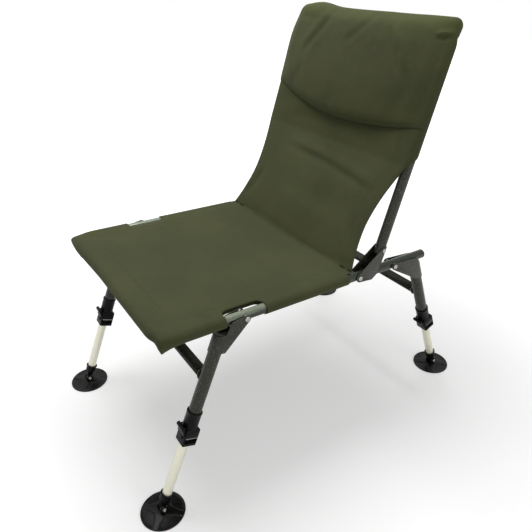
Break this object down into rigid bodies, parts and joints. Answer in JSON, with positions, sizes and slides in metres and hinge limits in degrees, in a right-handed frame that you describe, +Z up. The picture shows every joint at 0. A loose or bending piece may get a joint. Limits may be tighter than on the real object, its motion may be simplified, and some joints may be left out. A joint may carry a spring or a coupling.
{
  "type": "folding fishing chair",
  "caption": "Low folding chair with a slung cloth seat and reclined back, padded head rest, fold-away legs with sliding inner tubes, thumb locks and swivelling mud feet.",
  "frame": {"origin": "on the floor, at the middle of the footprint of the four feet", "axes": "+Z up, the sitter faces -Y, +X is the left hand of the sitter"},
  "size_m": [0.5498, 0.8864, 0.8646],
  "materials": {
    "cloth": "matt woven polyester",
    "hammertone": "dark grey hammered powder coat",
    "rail_paint": "satin grey-green paint",
    "aluminium": "satin",
    "steel": "bright zinc",
    "spring_steel": "blackened",
    "black_plastic": "moulded, slightly glossy",
    "foot_rubber": "moulded, glossy"
  },
  "bodies": {
    "seat_frame": {"seat_rail": "rail_paint", "rail_cap_left": "black_plastic", "rail_cap_right": "black_plastic", "seat_sling": "cloth", "front_pivot_rivet_left": "steel", "front_pivot_rivet_right": "steel", "back_pivot_rivet_left": "steel", "back_pivot_rivet_right": "steel", "rear_pivot_rivet_left": "steel", "rear_pivot_rivet_right": "steel"},
    "back": {"back_frame": "hammertone", "back_bracket_left": "hammertone", "back_bracket_right": "hammertone", "post_rivet_left": "steel", "post_rivet_right": "steel", "back_sling": "cloth", "head_pad": "cloth", "sling_junction": "cloth"},
    "front_legs": {"front_leg_frame": "hammertone", "front_leg_bracket_left": "hammertone", "front_leg_bracket_right": "hammertone", "front_leg_plug_left": "black_plastic", "front_leg_plug_right": "black_plastic", "front_lock_housing_left": "black_plastic", "front_lock_housing_right": "black_plastic", "front_lock_spring_left": "spring_steel", "front_lock_spring_right": "spring_steel"},
    "front_lock_left": {"front_lock_lever_left": "black_plastic", "front_lock_plate_left": "steel"},
    "front_inner_left": {"front_inner_leg_left": "aluminium", "front_foot_socket_left": "black_plastic", "front_foot_pin_left": "steel"},
    "front_foot_left": {"front_foot_left": "foot_rubber"},
    "front_lock_right": {"front_lock_lever_right": "black_plastic", "front_lock_plate_right": "steel"},
    "front_inner_right": {"front_inner_leg_right": "aluminium", "front_foot_socket_right": "black_plastic", "front_foot_pin_right": "steel"},
    "front_foot_right": {"front_foot_right": "foot_rubber"},
    "rear_legs": {"rear_leg_frame": "hammertone", "rear_leg_bracket_left": "hammertone", "rear_leg_bracket_right": "hammertone", "rear_leg_plug_left": "black_plastic", "rear_leg_plug_right": "black_plastic", "rear_lock_housing_left": "black_plastic", "rear_lock_housing_right": "black_plastic", "rear_lock_spring_left": "spring_steel", "rear_lock_spring_right": "spring_steel"},
    "rear_lock_left": {"rear_lock_lever_left": "black_plastic", "rear_lock_plate_left": "steel"},
    "rear_inner_left": {"rear_inner_leg_left": "aluminium", "rear_foot_socket_left": "black_plastic", "rear_foot_pin_left": "steel"},
    "rear_foot_left": {"rear_foot_left": "foot_rubber"},
    "rear_lock_right": {"rear_lock_lever_right": "black_plastic", "rear_lock_plate_right": "steel"},
    "rear_inner_right": {"rear_inner_leg_right": "aluminium", "rear_foot_socket_right": "black_plastic", "rear_foot_pin_right": "steel"},
    "rear_foot_right": {"rear_foot_right": "foot_rubber"}
  },
  "joints": [
    {"name": "back_fold", "type": "hinge", "parent": "seat_frame", "child": "back", "pos_m": [0, 0.07971, 0.387], "axis": [1, 0, 0], "range_deg": [0, 100], "deforming": ["sling_junction"]},
    {"name": "front_leg_fold", "type": "hinge", "parent": "seat_frame", "child": "front_legs", "pos_m": [0, -0.19705, 0.3986], "axis": [1, 0, 0], "range_deg": [0, 103]},
    {"name": "front_lock_left_press", "type": "hinge", "parent": "front_legs", "child": "front_lock_left", "pos_m": [-0.23, -0.33724, 0.18877], "axis": [1, 0, 0], "range_deg": [-4, 0], "stiffness_Nm_per_rad": 0.2, "springref_deg": 6.88, "deforming": ["front_lock_spring_left"]},
    {"name": "front_leg_left_slide", "type": "slide", "parent": "front_legs", "child": "front_inner_left", "axis": [0, 0.3891, 0.9212], "range_m": [-0.025, 0.105]},
    {"name": "front_foot_left_tilt", "type": "hinge", "parent": "front_inner_left", "child": "front_foot_left", "pos_m": [-0.23, -0.39825, 0.014], "axis": [1, 0, 0], "range_deg": [-30, 30]},
    {"name": "front_lock_right_press", "type": "hinge", "parent": "front_legs", "child": "front_lock_right", "pos_m": [0.23, -0.33724, 0.18877], "axis": [1, 0, 0], "range_deg": [-4, 0], "stiffness_Nm_per_rad": 0.2, "springref_deg": 6.88, "deforming": ["front_lock_spring_right"]},
    {"name": "front_leg_right_slide", "type": "slide", "parent": "front_legs", "child": "front_inner_right", "axis": [0, 0.3891, 0.9212], "range_m": [-0.025, 0.105]},
    {"name": "front_foot_right_tilt", "type": "hinge", "parent": "front_inner_right", "child": "front_foot_right", "pos_m": [0.23, -0.39825, 0.014], "axis": [1, 0, 0], "range_deg": [-30, 30]},
    {"name": "rear_leg_fold", "type": "hinge", "parent": "seat_frame", "child": "rear_legs", "pos_m": [0, 0.18122, 0.38275], "axis": [1, 0, 0], "range_deg": [-104, 0]},
    {"name": "rear_lock_left_press", "type": "hinge", "parent": "rear_legs", "child": "rear_lock_left", "pos_m": [-0.23, 0.3227, 0.16919], "axis": [1, 0, 0], "range_deg": [-4, 0], "stiffness_Nm_per_rad": 0.2, "springref_deg": 6.88, "deforming": ["rear_lock_spring_left"]},
    {"name": "rear_leg_left_slide", "type": "slide", "parent": "rear_legs", "child": "rear_inner_left", "axis": [0, 0.3752, -0.9269], "range_m": [-0.09, 0.025]},
    {"name": "rear_foot_left_tilt", "type": "hinge", "parent": "rear_inner_left", "child": "rear_foot_left", "pos_m": [-0.23, 0.39825, 0.014], "axis": [1, 0, 0], "range_deg": [-30, 30]},
    {"name": "rear_lock_right_press", "type": "hinge", "parent": "rear_legs", "child": "rear_lock_right", "pos_m": [0.23, 0.3227, 0.16919], "axis": [1, 0, 0], "range_deg": [-4, 0], "stiffness_Nm_per_rad": 0.2, "springref_deg": 6.88, "deforming": ["rear_lock_spring_right"]},
    {"name": "rear_leg_right_slide", "type": "slide", "parent": "rear_legs", "child": "rear_inner_right", "axis": [0, 0.3752, -0.9269], "range_m": [-0.09, 0.025]},
    {"name": "rear_foot_right_tilt", "type": "hinge", "parent": "rear_inner_right", "child": "rear_foot_right", "pos_m": [0.23, 0.39825, 0.014], "axis": [1, 0, 0], "range_deg": [-30, 30]}
  ]
}
